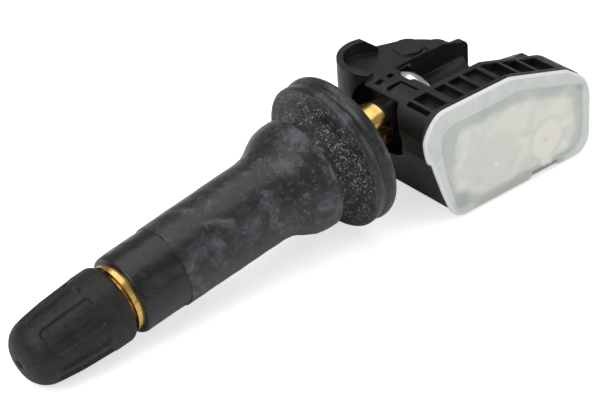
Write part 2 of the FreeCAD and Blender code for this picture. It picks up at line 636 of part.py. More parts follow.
def make_electronics():
    front = dim.cover_face - dim.cover_lip
    inner = -(front - dim.front_depth)
    board_back = inner - dim.wall - 0.05
    board = new_body("circuit_board", HOUSING)
    face = new_sketch(board, "board_view", "XZ_Plane", -(board_back - dim.board_thickness))
    outline(face, side_outline(dim.wall + 0.25, 0.35))
    pad(board, face, dim.board_thickness, "board", reverse=True)
    y_board = board_back - dim.board_thickness

    cell = doc.addObject("Part::Cylinder", "battery")
    bind(cell, "Radius", dim.cell_radius)
    bind(cell, "Height", dim.cell_height)
    low = up(dim.wall) + dim.tab_thickness + 0.1
    cell.Placement.Base = FreeCAD.Vector(CELL[0], CELL[1], number_of(low))
    cell.setExpression("Placement.Base.z", low.text)
    keep("battery", cell, HOUSING)
    top = low + dim.cell_height
    tabs = {"battery_tab_top": (top, top + dim.tab_thickness, CELL[0] + 1.0),
            "battery_tab_bottom": (low - dim.tab_thickness, low, CELL[0] - 3.5)}
    for name, (lower, upper, left) in tabs.items():
        keep(name, solid_box(name, (left, board_back, lower), (left + 2.4, 3.0, upper)), HOUSING)

    def part_on_board(name, left, low_edge, wide, tall, high):
        """A component on the board's cover side, standing high off it."""
        return solid_box(name, (left, y_board - high, low_edge), (left + wide, y_board, low_edge + tall))

    keep("sensor_chip", part_on_board("sensor_chip", 22.6, up(4.2), 5.0, 5.0, 1.75), HOUSING)
    keep("crystal", part_on_board("crystal", 18.4, up(9.4), 3.2, 1.5, 0.8), HOUSING)
    coil_core = (10.4, up(4.6), 7.4, 2.2, 1.9)
    keep("lf_coil_core", part_on_board("lf_coil_core", *coil_core), HOUSING)
    winding = doc.addObject("Part::Cut", "lf_coil_winding")
    winding.Base = solid_box("winding_block", (11.7, y_board - 2.1, up(4.35)),
                             (16.5, y_board, up(7.05)))
    winding.Tool = part_on_board("winding_bore", *coil_core)
    keep("lf_coil_winding", winding, HOUSING)
    small = doc.addObject("Part::MultiFuse", "passives")
    small.Shapes = [part_on_board("passive_%d" % index, 10.6 + 2.1 * index, up(12.2), 1.0, 0.5, 0.45)
                    for index in range(4)]
    keep("passives", small, HOUSING)
    strap = doc.addObject("Part::MultiFuse", "rf_antenna")
    strap.Shapes = [
        part_on_board("antenna_foot_a", 8.2, up(10.2), 0.5, 1.2, 1.5),
        part_on_board("antenna_foot_b", 19.0, up(11.4), 0.5, 1.2, 1.5),
        solid_box("antenna_bar", (8.2, y_board - 1.8, up(10.2)), (8.7, y_board - 1.5, up(13.3))),
        solid_box("antenna_top", (8.2, y_board - 1.8, up(12.8)), (19.5, y_board - 1.5, up(13.3))),
        solid_box("antenna_end", (19.0, y_board - 1.8, up(11.4)), (19.5, y_board - 1.5, up(13.3)))]
    keep("rf_antenna", strap, HOUSING)

    gel = new_body("potting_gel", HOUSING)
    face = new_sketch(gel, "gel_view", "XZ_Plane", front - 0.03)
    outline(face, side_outline(dim.wall + 0.06, 0.35))
    pad(gel, face, 0.6, "gel", reverse=True)

    # pressure port in the back wall: a membrane on a sealing ring
    for name, start, deep, bore in (("port_gasket", 0.7, 0.3, dim.port_radius),
                                    ("port_filter", 0.38, 0.25, None)):
        body = new_body(name, HOUSING)
        ring = new_sketch(body, name + "_view", "XZ_Plane", -(dim.back_face - start))
        circle(ring, (20.2, up(2.3)), dim.port_seat - 0.08)
        if bore is not None:
            circle(ring, (20.2, up(2.3)), bore)
        pad(body, ring, deep, name + "_pad", reverse=True)


def finish():
    """Turns the pieces into the resting pose, checks each one and writes it."""
    doc.recompute()
    pitch = SIZES["housing_pitch"]
    turns = {VALVE: -(pitch + SIZES["valve_lean"]), HOUSING: -pitch}
    shapes = {}
    for name, (piece, frame) in pieces.items():
        bad = [item.Name for item in [piece] + list(piece.OutListRecursive)
               if "Invalid" in item.State or "Error" in item.State]
        if bad or piece.Shape.isNull() or not piece.Shape.isValid():
            raise ValueError("%s failed to build: %s" % (name, bad))
        turn = FreeCAD.Placement(FreeCAD.Vector(),
                                 FreeCAD.Rotation(FreeCAD.Vector(0, 1, 0), turns[frame]))
        piece.Placement = turn.multiply(piece.Placement)
    doc.recompute()
    bounds = [piece.Shape.optimalBoundingBox(False, False) for piece, frame in pieces.values()]
    shift = FreeCAD.Vector(
        -(min(b.XMin for b in bounds) + max(b.XMax for b in bounds)) / 2,
        -(min(b.YMin for b in bounds) + max(b.YMax for b in bounds)) / 2,
        -min(b.ZMin for b in bounds))
    for piece, frame in pieces.values():
        piece.Placement = FreeCAD.Placement(shift, FreeCAD.Rotation()).multiply(piece.Placement)
    doc.recompute()
    os.makedirs("parts", exist_ok=True)
    for name, (piece, frame) in pieces.items():
        if not piece.Shape.isValid():
            raise ValueError("%s is not valid once placed" % name)
        piece.Shape.exportStep("parts/%s.step" % name)
        print("%-20s %9.2f mm3, %d solid(s)" % (name, piece.Shape.Volume, len(piece.Shape.Solids)))
    print("flange centre at %.4f %.4f %.4f" % tuple(shift))


make_valve_rubber()
make_valve_stem()
make_cap()
make_core()
make_housing()
make_cover()
make_screw()
make_electronics()
finish()
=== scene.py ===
import math
import bmesh
import bpy
import numpy as np
from mathutils import Matrix, Vector
from mathutils.geometry import delaunay_2d_cdt


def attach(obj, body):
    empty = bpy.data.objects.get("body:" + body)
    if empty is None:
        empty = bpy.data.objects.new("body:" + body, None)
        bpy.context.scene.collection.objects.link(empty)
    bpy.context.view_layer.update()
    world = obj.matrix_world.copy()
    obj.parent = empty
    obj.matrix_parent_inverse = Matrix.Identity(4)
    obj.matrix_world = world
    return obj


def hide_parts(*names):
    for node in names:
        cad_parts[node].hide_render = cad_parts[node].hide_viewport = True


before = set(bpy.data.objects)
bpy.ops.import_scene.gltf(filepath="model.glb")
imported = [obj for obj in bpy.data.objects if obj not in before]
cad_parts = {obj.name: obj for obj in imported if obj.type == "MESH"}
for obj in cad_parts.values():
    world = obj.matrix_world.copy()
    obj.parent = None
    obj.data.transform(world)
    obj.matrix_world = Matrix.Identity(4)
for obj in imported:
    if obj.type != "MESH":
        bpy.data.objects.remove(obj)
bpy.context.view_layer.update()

# ------------------------------------------------------------------------------------------------
# Valve cap: a screw-on plastic cap, near black and matt. A plain band runs round its mouth, twelve
# shallow pill-shaped flutes are pressed into the tapered wall, and the blunt dome ends in a gate dimple.
MM = 0.001
FLANGE = Vector((6.8951, -0.2653, 11.1641))     # centre of the flange's rear face, in mm
VALVE_TILT = math.radians(9.1)
HOUSING_TILT = math.radians(2.7)
CAP_MOUTH, CAP_TIP = -35.39, -48.34
CAP_FLUTES, FLUTE_HALF_WIDTH, FLUTE_DEPTH = 12, 0.72, 0.30
FLUTE_START, FLUTE_END = -38.9, -45.9
CAP_SEGMENTS = 432
CAP_DARK, CAP_PALE = (0.0095, 0.0078, 0.0068), (0.019, 0.016, 0.014)


def to_row(point, tilt):
    """A point in mm in the valve or housing frame, as a point in metres in the row frame."""
    x, y, z = point
    turned = Vector((x * math.cos(tilt) - z * math.sin(tilt), y,
                     x * math.sin(tilt) + z * math.cos(tilt)))
    return (turned + FLANGE) * MM


def rounded(profile, radius, step):
    """A profile with its corners eased by up to radius and its runs cut into equal steps."""
    points = [Vector(p) for p in profile]
    eased = [points[0]]
    for before, corner, after in zip(points, points[1:], points[2:]):
        back, ahead = before - corner, after - corner
        reach = min(radius, back.length * 0.45, ahead.length * 0.45)
        start, end = corner + back.normalized() * reach, corner + ahead.normalized() * reach
        for part in (0.0, 0.25, 0.5, 0.75, 1.0):
            eased.append(start * (1 - part) ** 2 + corner * 2 * part * (1 - part) + end * part ** 2)
    eased.append(points[-1])
    fine = [eased[0]]
    for a, b in zip(eased, eased[1:]):
        pieces = max(1, math.ceil((b - a).length / step))
        fine += [a.lerp(b, (k + 1) / pieces) for k in range(pieces)]
    return fine


def lathe(name, profile, segments, shape=None):
    """Turns a closed (along, radius) profile about the valve axis. shape(x, r, angle) moves the radius."""
    rings = len(profile)
    verts, faces = [], []
    for x, r in profile:
        for k in range(segments):
            angle = math.tau * k / segments
            here = shape(x, r, angle) if shape else r
            verts.append(to_row((x, here * math.cos(angle), here * math.sin(angle)), VALVE_TILT))
    for ring in range(rings):
        above = (ring + 1) % rings
        for k in range(segments):
            right = (k + 1) % segments
            faces.append((ring * segments + k, above * segments + k,
                          above * segments + right, ring * segments + right))
    return mesh_piece(name, verts, faces)


def mesh_piece(name, verts, faces, smooth=40.0):
    """A finished piece at the origin, faces outwards, smooth up to the given angle in degrees."""
    mesh = bpy.data.meshes.new(name)
    mesh.from_pydata([tuple(v) for v in verts], [], faces)
    shaped = bmesh.new()
    shaped.from_mesh(mesh)
    bmesh.ops.remove_doubles(shaped, verts=shaped.verts, dist=1e-7)
    bmesh.ops.recalc_face_normals(shaped, faces=shaped.faces)
    for face in shaped.faces:
        face.smooth = True
    for edge in shaped.edges:
        edge.smooth = edge.calc_face_angle(0.0) < math.radians(smooth)
    shaped.to_mesh(mesh)
    shaped.free()
    piece = bpy.data.objects.new(name, mesh)
    bpy.context.scene.collection.objects.link(piece)
    return piece


class Shader:
    """A short way to write a Principled material as node calls."""

    def __init__(self, name, **base):
        self.material = bpy.data.materials.new(name)
        self.material.use_nodes = True
        self.tree = self.material.node_tree
        self.tree.nodes.clear()
        out = self.tree.nodes.new("ShaderNodeOutputMaterial")
        self.base = self.tree.nodes.new("ShaderNodeBsdfPrincipled")
        self.tree.links.new(self.base.outputs[0], out.inputs[0])
        for socket, value in base.items():
            self.set(socket.replace("_", " "), value)

    def set(self, socket, value):
        self._feed(self.base.inputs[socket], value)

    def _feed(self, socket, value):
        if isinstance(value, bpy.types.NodeSocket):
            self.tree.links.new(value, socket)
        elif hasattr(socket.default_value, "__len__") and not hasattr(value, "__len__"):
            socket.default_value = [value] * len(socket.default_value)
        elif hasattr(socket.default_value, "__len__") and len(socket.default_value) == 4:
            socket.default_value = (*value[:3], 1.0)
        else:
            socket.default_value = value

    def node(self, kind, inputs=(), output=0, **settings):
        made = self.tree.nodes.new("ShaderNode" + kind)
        for key, value in settings.items():
            setattr(made, key, value)
        for key, value in dict(inputs).items():
            self._feed(made.inputs[key], value)
        return made.outputs[output]

    def place(self, tilt):
        """The position in mm in the valve's or housing's own frame."""
        point = self.node("TexCoord", output=3)
        point = self.node("VectorMath", {0: point, 1: tuple(FLANGE * MM)}, operation="SUBTRACT")
        point = self.node("VectorRotate", {"Vector": point, "Axis": (0, 1, 0), "Angle": tilt})
        return self.node("VectorMath", {0: point, 1: (1000.0,) * 3}, operation="MULTIPLY")

    def noise(self, vector, scale, detail=4.0, roughness=0.55, distortion=0.0):
        return self.node("TexNoise", {"Vector": vector, "Scale": scale, "Detail": detail,
                                      "Roughness": roughness, "Distortion": distortion})

    def stretch(self, vector, factors):
        return self.node("VectorMath", {0: vector, 1: factors}, operation="MULTIPLY")

    def math(self, operation, a, b=0.0, clamp=False):
        return self.node("Math", {0: a, 1: b}, operation=operation, use_clamp=clamp)

    def times(self, first, *others):
        for other in others:
            first = self.math("MULTIPLY", first, other)
        return first

    def remap(self, value, low, high, to_low=0.0, to_high=1.0):
        return self.node("MapRange", {"Value": value, "From Min": low, "From Max": high,
                                      "To Min": to_low, "To Max": to_high},
                         interpolation_type="SMOOTHSTEP")

    def mix(self, factor, a, b):
        made = self.tree.nodes.new("ShaderNodeMix")
        made.data_type = "RGBA"
        for key, value in ((0, factor), (6, a), (7, b)):
            self._feed(made.inputs[key], value)
        return made.outputs[2]

    def bump(self, height, strength, distance_mm, normal=None):
        inputs = {"Height": height, "Strength": strength, "Distance": distance_mm * MM}
        if normal is not None:
            inputs["Normal"] = normal
        return self.node("Bump", inputs)

    def axes(self, vector):
        parts = self.tree.nodes.new("ShaderNodeSeparateXYZ")
        self.tree.links.new(vector, parts.inputs[0])
        return parts.outputs

    def length(self, a, b):
        return self.math("SQRT", self.math("ADD", self.times(a, a), self.times(b, b)))

    def near(self, x, z, centre, radius, soft):
        """1 inside a disc on the cover's face, falling to 0 over soft mm."""
        gap = self.length(self.math("SUBTRACT", x, centre[0]), self.math("SUBTRACT", z, centre[1]))
        return self.remap(gap, radius + soft, radius - soft)


def ease(value, low, high):
    part = min(1.0, max(0.0, (value - low) / (high - low)))
    return part * part * (3 - 2 * part)


def flute(x, r, angle):
    """Presses the pill-shaped flutes into the outer wall."""
    if r < 3.2 or not FLUTE_END - 1 < x < FLUTE_START + 1:
        return r
    pitch = math.tau / CAP_FLUTES
    across = ((angle + pitch / 2) % pitch - pitch / 2) * r
    middle = min(max(x, FLUTE_END + FLUTE_HALF_WIDTH), FLUTE_START - FLUTE_HALF_WIDTH)
    distance = math.hypot(x - middle, across)
    return r - FLUTE_DEPTH * (1 - ease(distance, FLUTE_HALF_WIDTH - 0.16, FLUTE_HALF_WIDTH + 0.1))


cap_outline = rounded([
    (CAP_MOUTH - 0.3, 3.95), (CAP_MOUTH, 4.0), (CAP_MOUTH, 4.5), (CAP_MOUTH - 0.45, 4.78),
    (CAP_MOUTH - 2.6, 4.78), (CAP_MOUTH - 2.9, 4.70), (-42.4, 4.46), (-45.0, 4.14), (-46.3, 3.90),
    (-47.2, 3.42), (-47.9, 2.6), (-48.25, 1.6), (CAP_TIP, 0.9), (CAP_TIP, 0.55), (CAP_TIP + 0.22, 0.42),
    (CAP_TIP + 0.25, 0.02), (CAP_TIP + 1.5, 0.02), (CAP_TIP + 2.6, 2.0), (-43.7, 3.2), (-43.2, 3.93)],
    0.35, 0.16)
cap = lathe("cap_moulding", cap_outline, CAP_SEGMENTS, flute)
look = Shader("cap_plastic", Roughness=0.5, Specular_IOR_Level=0.38)
spot = look.place(VALVE_TILT)
grain = look.noise(spot, 9.0, 6.0, 0.65)
blotch = look.noise(spot, 0.8, 3.0)
look.set("Base Color", look.mix(look.remap(blotch, 0.35, 0.7), CAP_DARK, CAP_PALE))
look.set("Roughness", look.remap(look.noise(spot, 2.2, 5.0), 0.3, 0.7, 0.42, 0.62))
look.set("Normal", look.bump(grain, 0.35, 0.02))
cap.data.materials.append(look.material)
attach(cap, "cap")
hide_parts("valve_cap")

# ------------------------------------------------------------------------------------------------
# Rubber valve body: sleeve, cone, neck for the rim hole and flange, moulded in one. The rubber is dark
# grey with a bluish bloom and fine scuffs; the neck and the flange's inner face are coarsely speckled,
# and the short end of the sleeve is smoother and blacker.
RUBBER_END, SLEEVE_STEP = -34.16, -27.81
RUBBER_SEGMENTS = 240
SPECKLE_RADIUS = 7.8        # the coarse speckle fades out at this radius on the flange
RUBBER_DARK = (0.016, 0.016, 0.0175)
BLOOM_TINT, FINE_BLOOM_TINT = (0.105, 0.108, 0.130), (0.165, 0.168, 0.195)
SCUFF_TINT, SLEEVE_BLACK = (0.24, 0.235, 0.24), (0.0085, 0.0085, 0.009)
SPECKLE_DARK, SPECKLE_PALE = (0.016, 0.016, 0.017), (0.33, 0.33, 0.35)
rubber_outline = rounded([
    (0.0, 3.02), (0.0, 9.1), (-0.12, 9.4), (-0.45, 9.58), (-0.85, 9.58), (-1.2, 9.46), (-1.5, 9.2),
    (-1.72, 9.17), (-1.95, 9.35), (-2.2, 9.42), (-2.8, 9.44), (-3.0, 9.3), (-3.12, 9.05), (-3.14, 8.3),
    (-3.2, 7.4), (-3.35, 6.6), (-3.7, 6.1), (-4.25, 5.8), (-6.05, 5.75), (-6.45, 7.0), (-6.6, 7.16),
    (-7.7, 7.14), (-8.9, 6.92), (-10.1, 6.35), (-11.0, 5.82), (-11.9, 5.45), (-13.2, 5.27),
    (SLEEVE_STEP, 5.12), (SLEEVE_STEP - 0.03, 4.97), (-33.7, 4.93), (-34.05, 4.82), (RUBBER_END, 4.5),
    (RUBBER_END, 3.6), (RUBBER_END, 3.02)], 0.16, 0.2)


def worn(x, r, angle):
    """Slight unevenness of the moulded rubber."""
    if r < 4.4:
        return r
    return r + 0.012 * math.sin(angle * 5 + x * 0.9) + 0.010 * math.sin(angle * 11 - x * 2.3)


rubber = lathe("rubber_body", rubber_outline, RUBBER_SEGMENTS, worn)
look = Shader("valve_rubber_look", Specular_IOR_Level=0.45)
spot = look.place(VALVE_TILT)
along, side, rise = look.axes(spot)
warp = look.noise(spot, 0.25, 3.0, 0.5)
bloom = look.remap(look.noise(spot, 0.33, 7.0, 0.66, 1.2), 0.47, 0.70)
bloom = look.times(bloom, look.remap(warp, 0.35, 0.6))
fine_bloom = look.remap(look.noise(spot, 1.5, 7.0, 0.72, 0.8), 0.50, 0.74)
scuffs = look.remap(look.noise(look.stretch(spot, (0.55, 2.6, 2.6)), 2.4, 5.0, 0.65, 1.8), 0.62, 0.69)
speckle = look.times(look.remap(look.noise(spot, 3.6, 2.0, 0.7), 0.50, 0.60),
                     look.remap(look.noise(spot, 0.7, 2.0), 0.36, 0.52))
neck = look.times(look.remap(along, -6.7, -6.2), look.remap(along, -3.0, -3.25))
face = look.times(look.remap(along, -3.3, -2.95), look.remap(along, -2.6, -2.9))
face = look.times(face, look.remap(look.length(side, rise), SPECKLE_RADIUS + 0.5, SPECKLE_RADIUS - 0.5))
rough_zone = look.math("ADD", neck, look.times(face, 0.8), clamp=True)
sleeve_end = look.remap(along, SLEEVE_STEP + 0.02, SLEEVE_STEP - 0.05)
shoulder = look.times(look.remap(along, -18.0, -10.0), look.remap(along, -6.6, -7.4))
colour = look.mix(bloom, RUBBER_DARK, BLOOM_TINT)
colour = look.mix(look.times(fine_bloom, look.remap(shoulder, 0.0, 1.0, 0.35, 0.75)), colour,
                  FINE_BLOOM_TINT)
colour = look.mix(look.times(scuffs, 0.30), colour, SCUFF_TINT)
colour = look.mix(look.times(rough_zone, 0.75), colour, SPECKLE_DARK)
colour = look.mix(look.times(rough_zone, look.times(speckle, 0.85)), colour, SPECKLE_PALE)
colour = look.mix(look.times(sleeve_end, 0.85), colour, SLEEVE_BLACK)
look.set("Base Color", colour)
dull = look.math("ADD", look.remap(bloom, 0.0, 1.0, 0.30, 0.52), look.times(rough_zone, 0.2))
look.set("Roughness", look.math("SUBTRACT", dull, look.times(sleeve_end, 0.06)))
skin = look.bump(look.noise(spot, 3.2, 7.0, 0.7), 0.5, 0.04)
coarse = look.times(rough_zone, look.math("ADD", speckle, look.noise(spot, 4.0, 3.0)))
skin = look.bump(coarse, 0.9, 0.14, skin)
look.set("Normal", look.bump(scuffs, 0.4, 0.02, skin))
rubber.data.materials.append(look.material)
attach(rubber, "sensor")
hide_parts("valve_rubber")

# ------------------------------------------------------------------------------------------------
# Brass stem and valve core: turned metal, golden where it shows between rubber and housing and as a
# thin ring by the cap. Fine lathe lines run round it.
def metal(name, light, dark, roughness, line_scale=14.0):
    made = Shader(name, Metallic=1.0)
    here = made.place(VALVE_TILT)
    lines = made.noise(made.stretch(here, (line_scale, 0.4, 0.4)), 1.0, 4.0, 0.6)
    stain = made.noise(here, 0.7, 4.0, 0.6)
    made.set("Base Color", made.mix(made.remap(stain, 0.35, 0.7), light, dark))
    made.set("Roughness", made.remap(made.noise(here, 1.7, 5.0), 0.3, 0.7, roughness, roughness + 0.14))
    made.set("Normal", made.bump(lines, 0.25, 0.015))
    return made.material


def dress(nodes, material):
    """Gives CAD nodes a material in place of the plain one they come with."""
    for name in nodes:
        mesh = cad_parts[name].data
        mesh.materials.clear()
        mesh.materials.append(material)


dress(["valve_stem", "core_barrel", "core_pin", "core_cup"],
      metal("turned_brass", (0.86, 0.58, 0.20), (0.62, 0.36, 0.10), 0.16))

# ------------------------------------------------------------------------------------------------
# Retaining screw and core spring: plated steel, bright and slightly brushed.
dress(["retaining_screw"], metal("plated_screw", (0.92, 0.92, 0.91), (0.72, 0.72, 0.71), 0.18, 3.0))
dress(["core_spring"], metal("spring_wire", (0.62, 0.62, 0.62), (0.45, 0.45, 0.45), 0.3, 3.0))

# ------------------------------------------------------------------------------------------------
# Sensor housing: satin black glass-filled plastic, moulded in one, with softened edges and a little
# dust lying in the grain.
HOUSING_DARK, HOUSING_PALE = (0.0075, 0.0073, 0.007), (0.014, 0.0135, 0.013)
HOUSING_DUST = (0.035, 0.034, 0.033)
HOUSING_EDGE = 0.22
look = Shader("housing_plastic", Specular_IOR_Level=0.42)
spot = look.place(HOUSING_TILT)
edge = look.node("Bevel", {"Radius": HOUSING_EDGE * MM}, samples=6)
swirl = look.remap(look.noise(spot, 0.6, 4.0, 0.6, 0.8), 0.35, 0.7)
dust = look.remap(look.noise(spot, 4.5, 5.0, 0.7), 0.58, 0.72)
look.set("Base Color", look.mix(look.times(dust, 0.5), look.mix(swirl, HOUSING_DARK, HOUSING_PALE),
                                HOUSING_DUST))
look.set("Roughness", look.remap(look.noise(spot, 1.3, 5.0, 0.6), 0.3, 0.7, 0.34, 0.5))
look.set("Normal", look.bump(look.noise(spot, 7.0, 6.0, 0.7), 0.3, 0.03, edge))
dress(["sensor_housing"], look.material)

# ------------------------------------------------------------------------------------------------
# Cover: a milky translucent plate over the potted electronics. It has a bright rim, a flat margin and a
# sunken field where the potting swells forward, and the cell's cream disc and welded tabs show through.
COVER_FACE, COVER_BACK, FOOT = -9.05, -8.6, 11.54
COVER_STEP = 0.28
FIELD = [(10.3, 1.5), (14.0, 1.1), (24.0, 0.55), (30.6, 0.1), (32.1, 1.2), (32.4, 4.0), (32.2, 8.9),
         (31.7, 9.55), (21.3, 13.35), (9.6, 13.75), (8.2, 13.2), (7.85, 11.4), (8.6, 7.0)]
GEL = [(11.6, 2.7), (14.8, 1.25), (16.2, 1.15), (23.2, 0.85), (26.0, 0.7), (30.0, 0.6), (31.2, 2.5),
       (31.2, 7.0), (29.5, 9.2), (20.5, 12.2), (10.9, 12.4), (9.9, 10.0), (9.5, 6.6), (10.4, 3.5)]
# DISC_GLINT marks a painted highlight, a small near-white glint, with a shallow dent in the plate under it
DISC, DISC_GLINT, LOW_TAB = (25.9, 4.2), (16.95, 4.75), (25.7, 1.1)


def arc(start, middle, end, count=10):
    """Points on the circle through three points, without the last one."""
    (ax, ay), (bx, by), (cx, cy) = start, middle, end
    d = 2 * (ax * (by - cy) + bx * (cy - ay) + cx * (ay - by))
    a2, b2, c2 = ax * ax + ay * ay, bx * bx + by * by, cx * cx + cy * cy
    ox = (a2 * (by - cy) + b2 * (cy - ay) + c2 * (ay - by)) / d
    oy = (a2 * (cx - bx) + b2 * (ax - cx) + c2 * (bx - ax)) / d
    radius = math.hypot(ax - ox, ay - oy)
    first, last = math.atan2(ay - oy, ax - ox), math.atan2(cy - oy, cx - ox)
    sweep = (last - first + math.pi) % math.tau - math.pi
    return [(ox + radius * math.cos(first + sweep * k / count),
             oy + radius * math.sin(first + sweep * k / count)) for k in range(count)]


def round_corners(corners, radius):
    """A closed outline with every corner rounded, as evenly spaced points."""
    points = []
    for before, corner, after in zip(corners[-1:] + corners[:-1], corners, corners[1:] + corners[:1]):
        p, q, s = Vector(before), Vector(corner), Vector(after)
        back, ahead = (p - q), (s - q)
        reach = min(radius, back.length * 0.45, ahead.length * 0.45)
        start, end = q + back.normalized() * reach, q + ahead.normalized() * reach
        for k in range(7):
            t = k / 6
            points.append(start * (1 - t) ** 2 + q * 2 * t * (1 - t) + end * t ** 2)
    dense = []
    for a, b in zip(points, points[1:] + points[:1]):
        count = max(1, round((b - a).length / COVER_STEP))
        dense += [a.lerp(b, k / count) for k in range(count)]
    return np.array([tuple(v) for v in dense])


def edge_distance(points, outline):
    """Distance of each point to a closed outline, positive inside."""
    a, b = outline, np.roll(outline, -1, axis=0)
    run = b - a
    offset = points[:, None, :] - a[None]
    part = np.clip((offset * run).sum(2) / (run * run).sum(1), 0, 1)
    gap = np.linalg.norm(offset - part[..., None] * run, axis=2).min(1)
    crosses = ((a[None, :, 1] > points[:, None, 1]) != (b[None, :, 1] > points[:, None, 1]))
    slope = run[:, 0] / np.where(run[:, 1] == 0, 1e-9, run[:, 1])
    reach = a[:, 0] + slope * (points[:, None, 1] - a[:, 1])
    inside = (crosses & (points[:, None, 0] < reach)).sum(1) % 2 == 1
    return np.where(inside, gap, -gap)


cover_edge = round_corners(
    [(11.6, 0.03), (22.7, -0.50), (23.15, -0.18), (27.6, -0.40), (28.1, -0.76), (30.6, -0.88)]
    + arc((30.9, -0.88), (33.0, -0.25), (33.76, 1.9), 6) + [(33.76, 2.2), (33.74, 7.2)]
    + arc((33.7, 7.5), (32.9, 9.65), (31.2, 11.25), 5)
    + [(31.2, 11.25), (29.58, 12.46), (19.45, 15.96), (8.2, 16.46)]
    + arc((7.4, 16.3), (5.87, 15.0), (5.0, 13.2), 5)
    + [(5.0, 13.2), (5.2, 11.6), (5.6, 10.1), (6.25, 9.7), (6.55, 8.6), (7.8, 4.9), (8.7, 2.6)]
    + arc((8.9, 2.2), (9.7, 0.95), (11.0, 0.10), 4), 0.4)
field_edge = round_corners(FIELD, 0.6)
gel_edge = round_corners(GEL, 1.2)
low, high = cover_edge.min(0), cover_edge.max(0)
grid = np.stack(np.meshgrid(np.arange(low[0], high[0], COVER_STEP),
                            np.arange(low[1], high[1], COVER_STEP)), -1).reshape(-1, 2)
grid = grid[edge_distance(grid, cover_edge) > 0.45]
rings = []
for inset in (0.08, 0.18, 0.30):
    normal = np.roll(cover_edge, -1, 0) - np.roll(cover_edge, 1, 0)
    normal = np.stack([-normal[:, 1], normal[:, 0]], 1)
    normal /= np.linalg.norm(normal, axis=1)[:, None]
    rings.append(cover_edge + normal * inset)
flat = np.concatenate([cover_edge] + rings + [grid])
edge_count = len(cover_edge)
loop = [(k, (k + 1) % edge_count) for k in range(edge_count)]
verts2d, _, faces2d, *_ = delaunay_2d_cdt([Vector(p) for p in flat], loop, [], 1, 1e-6)
plan = np.array([tuple(v) for v in verts2d])
rim = np.clip(edge_distance(plan, cover_edge), 0, None)
inner = edge_distance(plan, field_edge)
gel = edge_distance(plan, gel_edge)


def smooth(values, start, end):
    part = np.clip((values - start) / (end - start), 0, 1)
    return part * part * (3 - 2 * part)


def disc(x, z, radius, soft):
    return 1 - smooth(np.hypot(plan[:, 0] - x, plan[:, 1] - z), radius - soft, radius + soft)


depth = 0.20 * (1 - smooth(rim, 0.0, 0.22)) + 0.08 * smooth(rim, 0.35, 0.75)
depth += 0.22 * smooth(inner, -0.12, 0.30) - 0.16 * smooth(gel, -0.3, 0.7)
depth -= 0.06 * (disc(*DISC, 2.7, 0.5) + disc(*DISC_GLINT, 0.35, 0.3) + disc(*LOW_TAB, 0.8, 0.3))
front = [to_row((x, COVER_FACE + 0.01 + d, z - FOOT), HOUSING_TILT) for (x, z), d in zip(plan, depth)]
front_count = len(front)
border = {tuple(np.round(p, 5)): k for k, p in enumerate(plan)}
ring_ids = [border[tuple(np.round(p, 5))] for p in cover_edge]
back = [to_row((plan[k][0], COVER_BACK, plan[k][1] - FOOT), HOUSING_TILT) for k in ring_ids]
faces = [tuple(f) for f in faces2d]
for k in range(edge_count):
    after = (k + 1) % edge_count
    faces.append((ring_ids[k], ring_ids[after], front_count + after, front_count + k))
faces.append(tuple(front_count + k for k in range(edge_count)))
cover = mesh_piece("cover_plate", front + back, faces, 60.0)
# how far each point lies from the rim and from the sunken field's edge, for the plate's tints
flat_place = np.array([tuple(v.co) for v in cover.data.vertices]) / MM - np.array(FLANGE)
turned_x = flat_place[:, 0] * math.cos(HOUSING_TILT) + flat_place[:, 2] * math.sin(HOUSING_TILT)
turned_z = flat_place[:, 2] * math.cos(HOUSING_TILT) - flat_place[:, 0] * math.sin(HOUSING_TILT) + FOOT
on_plan = np.stack([turned_x, turned_z], 1)
for attribute, values in (("rim_gap", np.clip(edge_distance(on_plan, cover_edge), 0, None)),
                          ("field_gap", edge_distance(on_plan, field_edge)),
                          ("gel_gap", edge_distance(on_plan, gel_edge))):
    layer = cover.data.attributes.new(attribute, "FLOAT", "POINT")
    layer.data.foreach_set("value", values.astype(np.float32))
look = Shader("milky_cover", IOR=1.48, Specular_IOR_Level=0.5)
look.set("Subsurface Weight", 0.25)
look.set("Subsurface Radius", (1.0, 1.0, 0.9))
look.set("Subsurface Scale", 0.0012)
spot = look.place(HOUSING_TILT)
x, _, z = look.axes(spot)
z = look.math("ADD", z, FOOT)
edge_gap = look.node("Attribute", output=2, attribute_name="rim_gap")
field_gap = look.node("Attribute", output=2, attribute_name="field_gap")
gel_gap = look.node("Attribute", output=2, attribute_name="gel_gap")
drift = look.times(look.math("SUBTRACT", look.noise(spot, 0.5, 4.0, 0.6), 0.5), 1.6)
cloud = look.remap(look.noise(spot, 0.22, 4.0, 0.6, 1.0), 0.38, 0.62)
margin = look.mix(cloud, (0.70, 0.75, 0.72), (0.79, 0.82, 0.78))
band = look.mix(cloud, (0.60, 0.66, 0.61), (0.70, 0.75, 0.66))
milk = look.mix(cloud, (0.80, 0.83, 0.76), (0.92, 0.92, 0.80))
colour = look.mix(look.remap(field_gap, -0.10, 0.12), margin, band)
colour = look.mix(look.remap(look.math("ADD", gel_gap, drift), -0.3, 0.8), colour, milk)
# painted shade: a darker bluish band along the sunken field's step edge, where its wall falls in shade
step = look.times(look.remap(field_gap, -0.30, 0.05), look.remap(field_gap, 0.55, 0.10))
colour = look.mix(look.times(step, 0.34), colour, (0.40, 0.46, 0.45))
ledge = look.times(look.remap(field_gap, 0.05, -0.12),
                   look.times(look.remap(z, 2.0, 1.2), look.remap(x, 11.5, 14.5)))
ledge = look.times(ledge, look.remap(x, 29.6, 28.2))
colour = look.mix(look.times(ledge, 0.8), colour, (0.47, 0.49, 0.43))
shaded = look.times(ledge, look.times(look.remap(x, 23.0, 23.3), look.remap(x, 28.0, 27.5)))
colour = look.mix(look.times(shaded, 0.8), colour, (0.20, 0.21, 0.20))
